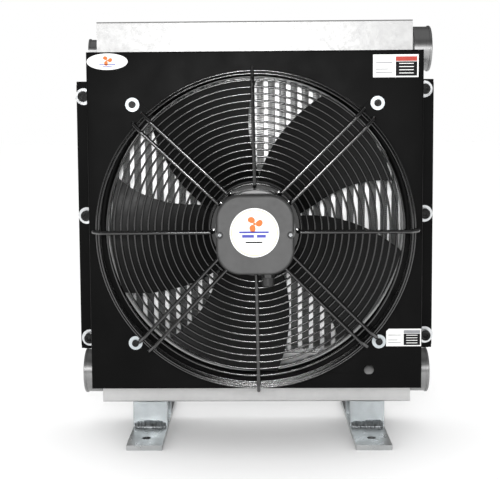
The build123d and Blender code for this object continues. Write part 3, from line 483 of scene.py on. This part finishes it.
# -------------------------------------------------------------------- weld beads
def weld_beads():
    """Hand-laid fillet welds at both ends of the four foot uprights."""
    up_low, up_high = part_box("foot_uprights")
    steps, arc = 64, 7
    parts = []
    middle = (up_high.x - FOOT_WIDTH / 2, up_low.x + FOOT_WIDTH / 2)
    for foot, x0 in enumerate(middle):
        for side, y in ((-1, up_low.y), (1, up_high.y)):
            for z, up, reach in ((up_low.z, 1, FLOOR_WELD), (up_high.z, -1, SADDLE_WELD)):
                rows = []
                for i in range(steps + 1):
                    t = i / steps
                    ripple = (0.05 * math.sin(t * 58 + foot * 2)
                              + 0.05 * math.sin(t * 17 + side + foot))
                    crown = 0.92 - 0.3 * abs(2 * t - 1) ** 5 - 0.1 * math.sin(t * 6 + foot * 1.7)
                    r = reach * min(1.0, crown + ripple)
                    x = x0 + (t - 0.5) * (FOOT_WIDTH - 4 * MM)
                    row = [(x, y, z)]
                    for j in range(arc):
                        a = math.pi / 2 * j / (arc - 1)
                        bulge = r * (1 - 0.2 * math.sin(2 * a) + 0.012 * math.sin(t * 116 + j))
                        row.append((x, y + side * bulge * math.cos(a),
                                    z + up * bulge * math.sin(a)))
                    rows.append(row)
                points, faces = grid(rows, closed_columns=True)
                faces.append(tuple(range(arc + 1)))
                faces.append(tuple(len(points) - 1 - k for k in range(arc + 1)))
                parts.append((points, faces))
    made = piece("weld_beads", *joined(parts), WELD, smooth=True, slot="weld_metal")
    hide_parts("foot_welds")


weld_beads()


# -------------------------------------------------------- port threads and welds
def port_places(left, right):
    """End face in x, outward side and height of each oil port, for these two end faces."""
    return ((right, 1, TOP_PORT_Z), (left, -1, LOW_PORT_Z), (right, 1, LOW_PORT_Z))


def port_threads():
    """Female pipe threads in the three oil ports."""
    pitch, crest, root = 2.309 * MM, 21.3 * MM, 22.38 * MM
    around, per_turn = 72, 6
    low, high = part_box("oil_ports")
    length, inset = 26 * MM, 3.0 * MM
    steps = int(length / pitch) * per_turn
    parts = []
    for mouth, side, z in port_places(low.x, high.x):
        rows = []
        for i in range(steps + 1):
            along = pitch * i / per_turn
            row = []
            for j in range(around):
                turn = j / around
                phase = (along / pitch - turn * side) % 1.0
                tooth = 1 - abs(2 * phase - 1)
                fade = min(1.0, i / per_turn, (steps - i) / per_turn)
                radius = root - (root - crest) * min(1.0, tooth * 1.25) * fade
                angle = turn * 2 * math.pi
                row.append((mouth - side * (inset + along), radius * math.cos(angle),
                            z + radius * math.sin(angle)))
            rows.append(row if side < 0 else row[::-1])
        parts.append(grid(rows, closed_columns=True))
    points, faces = joined(parts)
    piece("port_threads", points, faces, TURNED, smooth=True, slot="aluminium_machined")


port_threads()


def port_welds():
    """Weld beads where the round ports meet the tank ends; their near-black colour is painted
    shade in the joint.
    """
    tank_low, tank_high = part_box("top_tank")
    steps, arc = 120, 7
    parts = []
    for face, side, z in port_places(tank_low.x, tank_high.x):
        rows = []
        for i in range(steps):
            t = 2 * math.pi * i / steps
            ripple = 0.25 * math.sin(t * 31) + 0.35 * math.sin(t * 7 + z * 40)
            width, swell = (5.2 + ripple) * MM, (1.9 + 0.3 * ripple) * MM
            row = []
            for j in range(arc):
                a = math.pi * j / (arc - 1)
                radius = PORT_NECK_RADIUS + swell * math.sin(a)
                row.append((face + side * width * (1 - math.cos(a)) / 2, radius * math.cos(t),
                            z + radius * math.sin(t)))
            rows.append(row)
        parts.append(grid(rows, closed_rows=True))
    piece("port_weld_beads", *joined(parts), WELD_PAINTED_SHADE, smooth=True, slot="weld_metal")


port_welds()


# ------------------------------------------------ painted sheen on the inlet wall and thin guard rings
def inlet_sheen_sheet():
    """Pale sheet of painted reflection over the black inlet wall, from behind its rounded mouth to
    its rear lip.
    """
    lift, skin, around = 0.12 * MM, 0.08 * MM, 240
    inner = THROAT_RADIUS - lift
    outline = [(inner, LEAD_IN), (inner, THROAT_DEPTH), (inner + skin, THROAT_DEPTH),
               (inner + skin, LEAD_IN)]
    rows = []
    for i in range(around):
        t = 2 * math.pi * i / around
        rows.append([(CORE_X + r * math.cos(t), PLATE_Y + d, FAN_Z + r * math.sin(t))
                     for r, d in outline])
    # pale sheet over the black wall: painted reflection, not a finish of the shroud
    piece("inlet_painted_sheen", *grid(rows, closed_rows=True, closed_columns=True), PAINTED_SHEEN, smooth=True,
          slot="steel_black")


inlet_sheen_sheet()


def wall_rings():
    """Thin rings between the guard's heavier outer ones."""
    low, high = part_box("guard_wall_rings")
    wire, around, section = 1.5 * MM, 180, 10
    z = (low.z + high.z) / 2
    parts = []
    for distance in THIN_RING_DEPTHS:
        rows = []
        for i in range(around):
            t = 2 * math.pi * i / around
            row = []
            for j in range(section):
                a = 2 * math.pi * j / section
                r = WALL_RING_RADIUS + wire * math.cos(a)
                row.append((CORE_X + r * math.cos(t), PLATE_Y - distance + wire * math.sin(a),
                            z + r * math.sin(t)))
            rows.append(row)
        parts.append(grid(rows, closed_rows=True, closed_columns=True))
    piece("thin_wall_rings", *joined(parts), WIRE, smooth=True, slot="wire_black")


wall_rings()


# ------------------------------------------------------------------- label prints
def flat_shape(outline, y, thick):
    """Closed slab with this outline in x and z, its front at y."""
    n = len(outline)
    points = [(x, y, z) for x, z in outline] + [(x, y + thick, z) for x, z in outline]
    faces = [tuple(range(n)), tuple(range(2 * n - 1, n - 1, -1))]
    faces += [(i, i + n, (i + 1) % n + n, (i + 1) % n) for i in range(n)]
    return points, faces


def disc(cx, cz, rx, rz=None, count=96):
    rz = rz or rx
    turns = [2 * math.pi * i / count for i in range(count)]
    return [(cx + rx * math.cos(t), cz + rz * math.sin(t)) for t in turns]


def rectangle(x0, z0, x1, z1):
    return [(x0, z0), (x1, z0), (x1, z1), (x0, z1)]


def band(cx, cz, rx, rz, width, y, thick, count=96):
    """Ring-shaped slab as a closed loop of small boxes."""
    rows = []
    for i in range(count):
        a = 2 * math.pi * i / count
        ring = []
        for shrink, yy in ((0, y), (width, y), (width, y + thick), (0, y + thick)):
            ring.append((cx + (rx - shrink) * math.cos(a), yy, cz + (rz - shrink) * math.sin(a)))
        rows.append(ring)
    return grid(rows, closed_rows=True, closed_columns=True)


def fan_sign(cx, cz, size, y, thick):
    """Plain three-bladed fan symbol."""
    parts = [flat_shape(disc(cx, cz, size * 0.16, count=32), y, thick)]
    for blade in range(3):
        outline = []
        for i in range(25):
            t = i / 24
            a = math.radians(120 * blade + 90 + 62 * math.sin(math.pi * t * 0.5) - 14)
            r = size * (0.24 + 0.76 * math.sin(math.pi * t) ** 0.6)
            outline.append((cx + r * math.cos(a + 0.5 * t), cz + r * math.sin(a + 0.5 * t)))
        parts.append(flat_shape(outline, y, thick))
    return joined(parts)


def label_film(name, outline, low, high):
    """White film that fills a label's box behind its prints."""
    film = flat_shape(outline, low.y + PRINT, high.y - low.y - PRINT)
    return piece(name, *film, WHITE, slot="label_white")


def printed_piece(name, shape, material):
    """One colour of a label's print."""
    piece(name, *shape, material, slot="label_white")


def printed_bars(x, z, unit, front, shares):
    """Plain bars whose corners are given in this unit from a middle point."""
    return joined([flat_shape(rectangle(x + a * unit, z + b * unit, x + c * unit, z + d * unit),
                              front, PRINT) for a, b, c, d in shares])


def cover_disc():
    low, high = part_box("cover_label")
    x, z, radius, front = (low.x + high.x) / 2, (low.z + high.z) / 2, (high.x - low.x) / 2, low.y
    rim = radius * 0.94
    base = label_film("cover_disc", disc(x, z, radius), low, high)
    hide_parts("cover_label")
    printed_piece("disc_rim", band(x, z, rim, rim, 0.9 * MM, front, PRINT), SAND)
    printed_piece("disc_sign", fan_sign(x, z + radius * 0.36, radius * 0.34, front, PRINT), ORANGE)
    lines = ((-0.62, -0.02, 0.58, 0.06), (-0.5, -0.2, -0.02, -0.08), (0.1, -0.2, 0.46, -0.08))
    printed_piece("disc_lines", printed_bars(x, z, radius, front, lines), BLUE)
    foot_line = ((-0.36, -0.42, 0.32, -0.36),)
    printed_piece("disc_foot_line", printed_bars(x, z, radius, front, foot_line), INK)


def badge():
    low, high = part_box("corner_badge")
    x, z, front = (low.x + high.x) / 2, (low.z + high.z) / 2, low.y
    oval = disc(x, z, (high.x - low.x) / 2, (high.z - low.z) / 2)
    base = label_film("oval_badge", oval, low, high)
    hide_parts("corner_badge")
    lines = ((-12, -5.0, 12, -3.8), (-7, -7.4, 7, -6.4))
    printed_piece("badge_lines", printed_bars(x, z, MM, front, lines), BLUE)
    printed_piece("badge_sign", fan_sign(x, z + 1.6 * MM, 7.6 * MM, front, PRINT), ORANGE)


def side_label(node, name, outline, fields):
    """Blank label with plain colour fields, placed as shares of its width and height."""
    low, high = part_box(node)
    width, tall = high.x - low.x, high.z - low.z
    shape = [(low.x + a * width, low.z + b * tall) for a, b in outline]
    base = label_film(name, shape, low, high)
    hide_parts(node)
    for i, (material, blocks) in enumerate(fields):
        parts = [flat_shape(rectangle(low.x + a * width, low.z + b * tall, low.x + c * width,
                                      low.z + d * tall), low.y, PRINT) for a, b, c, d in blocks]
        printed_piece(f"{name}_print_{i + 1}", joined(parts), material)


def block_with_lines(x0, z0, x1, z1, lines=4):
    """Printed field left open along a few plain lines."""
    rim = 0.16 * (x1 - x0)
    step = (z1 - z0) / (2 * lines + 1)
    fields = [(x0, z0, x0 + rim, z1), (x1 - rim, z0, x1, z1)]
    fields += [(x0 + rim, z0 + 2 * k * step, x1 - rim, z0 + min(2 * k + 1.5, 2 * lines + 1) * step)
               for k in range(lines + 1)]
    return fields


cover_disc()
badge()
SQUARE = [(0, 0), (1, 0), (1, 1), (0, 1)]
RULES = [(0.06, 0.2, 0.42, 0.24), (0.06, 0.34, 0.33, 0.38), (0.06, 0.62, 0.42, 0.66)]
side_label("upper_label", "upper_sticker", SQUARE,
           [(RED, [(0.50, 0.71, 0.97, 0.91)]), (INK, block_with_lines(0.50, 0.06, 0.97, 0.69)),
            (SILVER, RULES)])
side_label("lower_label", "lower_sticker", [(0, 0), (1, 0), (1, 1), (0.076, 1), (0, 0.857)],
           [(SILVER, RULES + [(0.50, 0.74, 0.97, 0.92)]),
            (INK, block_with_lines(0.50, 0.06, 0.97, 0.72))])


# -------------------------------------------------------------- floor and lights
def floor():
    size, z = 30.0, 0.0
    points = [(-size, -size, z), (size, -size, z), (size, size, z), (-size, size, z)]
    mesh = bpy.data.meshes.new("studio_floor")
    mesh.from_pydata(points, [], [(0, 1, 2, 3)])
    mesh.materials.append(FLOOR)
    made = bpy.data.objects.new("studio_floor", mesh)
    scene.collection.objects.link(made)


def lamp(name, place, target, size, power, tall=None):
    data = bpy.data.lights.new(name, "AREA")
    data.shape = "RECTANGLE"
    data.size = size
    data.size_y = tall or size
    data.energy = power
    made = bpy.data.objects.new(name, data)
    made.location = place
    made.rotation_euler = (Vector(target) - Vector(place)).to_track_quat("-Z", "Y").to_euler()
    scene.collection.objects.link(made)


def lights():
    """Soft boxes by the lens and at the left, a faint sun, and a room with little gleam."""
    world = bpy.data.worlds.new("studio")
    scene.world = world
    world.use_nodes = True
    tree = world.node_tree
    rays = tree.nodes.new("ShaderNodeLightPath")

    def sky(strength):
        made = tree.nodes.new("ShaderNodeBackground")
        made.inputs["Color"].default_value = (1, 1, 1, 1)
        made.inputs["Strength"].default_value = strength
        return made.outputs[0]

    def choose(ray, otherwise, chosen):
        mix = tree.nodes.new("ShaderNodeMixShader")
        tree.links.new(rays.outputs[ray], mix.inputs["Fac"])
        tree.links.new(otherwise, mix.inputs[1])
        tree.links.new(chosen, mix.inputs[2])
        return mix.outputs[0]

    seen = choose("Is Camera Ray", choose("Is Glossy Ray", sky(1.1), sky(0.16)), sky(1.0))
    tree.links.new(seen, tree.nodes["World Output"].inputs["Surface"])
    lamp("front_box", (-0.06, -1.75, 0.66), (0, 0, 0.38), 0.4, 8.5, 0.16)
    lamp("lens_light", (-0.01, -1.66, 0.54), (0, 0, 0.34), 0.09, 5.0)
    overhead = bpy.data.lights.new("overhead", "SUN")
    overhead.energy = 0.25
    overhead.angle = math.radians(75)
    above = bpy.data.objects.new("overhead", overhead)
    above.rotation_euler = (math.radians(12), 0, 0)
    scene.collection.objects.link(above)
    lamp("left_box", (-2.2, -1.4, 0.9), (0, 0, 0.3), 0.8, 6, 1.2)


def camera():
    data = bpy.data.cameras.new("camera")
    data.sensor_width = 36.0
    data.lens = 72.072
    data.shift_x = 0.02808
    data.shift_y = -0.06066
    made = bpy.data.objects.new("camera", data)
    scene.collection.objects.link(made)
    place = (-0.00651, -1.62198, 0.48959)
    yaw, pitch, roll = -0.0175, 0.0816, -0.007
    ahead = Vector((math.sin(yaw) * math.cos(pitch), math.cos(yaw) * math.cos(pitch),
                    -math.sin(pitch)))
    side = ahead.cross(Vector((0, 0, 1))).normalized()
    top = side.cross(ahead)
    right = side * math.cos(roll) + top * math.sin(roll)
    up = top * math.cos(roll) - side * math.sin(roll)
    turn = Matrix((right, up, -ahead)).transposed()
    made.matrix_world = Matrix.Translation(place) @ turn.to_4x4()
    scene.camera = made


floor()
lights()
camera()
scene.view_settings.view_transform = "Standard"
